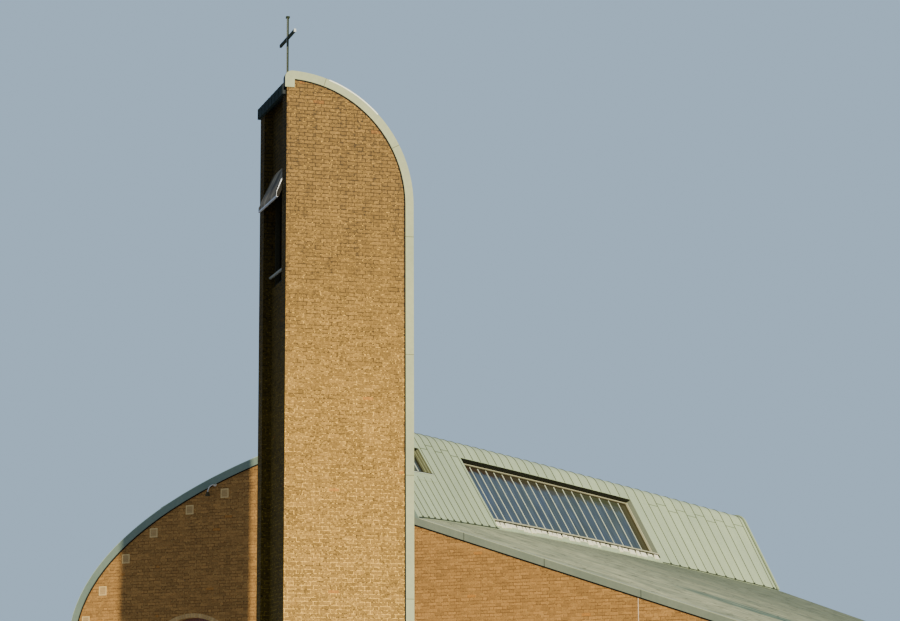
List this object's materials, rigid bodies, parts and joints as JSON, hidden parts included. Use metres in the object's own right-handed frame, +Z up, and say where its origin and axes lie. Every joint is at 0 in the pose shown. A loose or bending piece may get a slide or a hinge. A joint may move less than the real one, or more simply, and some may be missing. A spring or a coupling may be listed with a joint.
{
  "type": "modern church building",
  "caption": "Modern brick church with a curved metal roof, a steep glazed slope over a shallow lower roof, and a free-standing bell tower with a quarter-round top.",
  "frame": {"origin": "on the ground under the middle of the nave floor", "axes": "+Z up; +X along the front gable, towards the low right side; +Y into the church, square to the front gable, so the front gable and the tower are on the -Y side. The nave bends towards +X as it goes back"},
  "size_m": [23.726, 34.8033, 17.15],
  "materials": {
    "brick": "rough brickwork",
    "tower_brick": "rough brickwork",
    "copper_roof": "pale grey-green patina",
    "lower_roof_sheet": "dull grey-green patina",
    "metal_trim": "dull pale green-grey",
    "white_flashing": "matt white",
    "timber": "stained",
    "glass": "clear, blue-grey",
    "concrete": "floated concrete",
    "steel": "weathered steel"
  },
  "bodies": {
    "root": {"floor_slab": "concrete", "front_gable_wall": "brick", "back_gable_wall": "brick", "left_side_wall": "brick", "right_side_wall": "brick", "back_right_wall": "brick", "left_roof_shell": "copper_roof", "ridge_roof": "copper_roof", "slope_foot_roof": "copper_roof", "front_slope_roof": "copper_roof", "back_slope_roof": "copper_roof", "lower_roof": "lower_roof_sheet", "eave_board": "metal_trim", "front_coping_left": "metal_trim", "front_coping_ridge": "metal_trim", "front_coping_right": "metal_trim", "back_coping_left": "metal_trim", "back_coping_ridge": "metal_trim", "long_window_frame": "metal_trim", "long_window_pane": "glass", "long_window_sill_flashing": "white_flashing", "short_window_frame": "metal_trim", "short_window_pane": "glass", "short_window_sill_flashing": "white_flashing", "entrance_arch_ring": "brick", "entrance_screen": "timber", "entrance_glass": "glass", "wall_lamp": "steel", "tower_front_slab": "tower_brick", "tower_back_slab": "tower_brick", "tower_infill_below_bell": "tower_brick", "tower_infill_above_bell": "tower_brick", "tower_right_infill": "tower_brick", "tower_coping": "metal_trim", "tower_end_cladding": "metal_trim", "bell_opening_frame": "metal_trim", "bell_opening_rail": "metal_trim", "bell_hood": "metal_trim", "cross": "steel"}
  },
  "joints": []
}
